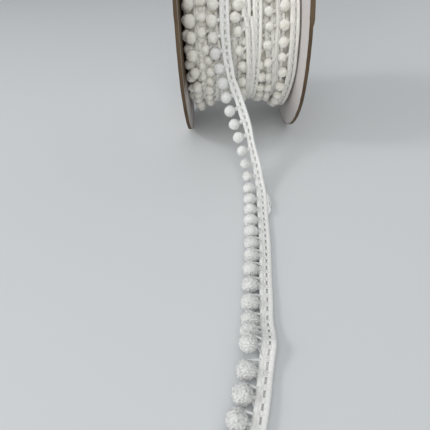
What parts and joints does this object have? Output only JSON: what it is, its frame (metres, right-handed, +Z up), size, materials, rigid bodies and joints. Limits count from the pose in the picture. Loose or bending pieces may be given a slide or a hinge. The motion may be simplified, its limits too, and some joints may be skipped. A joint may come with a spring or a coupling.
{
  "type": "pompom fringe trim on a card spool",
  "caption": "Narrow pompom fringe trim wound on a round card spool that stands on its rims, with a loose end lying in front; the spool turns on a rod through its centre hole.",
  "frame": {"origin": "bottom centre of the whole part's box, on the surface that it stands on", "axes": "+X along the spool's axis, to the right as seen from the loose end; +Y from the loose end's cut towards the spool; +Z up"},
  "size_m": [0.0542, 0.2188, 0.0897],
  "materials": {
    "kraft_card": "uncoated brown card edge, with white paper on the inner faces",
    "core_card": "uncoated rolled card",
    "cotton_yarn": "matt soft yarn, brushed pompoms"
  },
  "bodies": {
    "root": {"flange_left": "kraft_card", "flange_right": "kraft_card", "core_tube": "core_card", "roll": "cotton_yarn", "tail_cord": "cotton_yarn", "tail_pompoms": "cotton_yarn"}
  },
  "joints": []
}
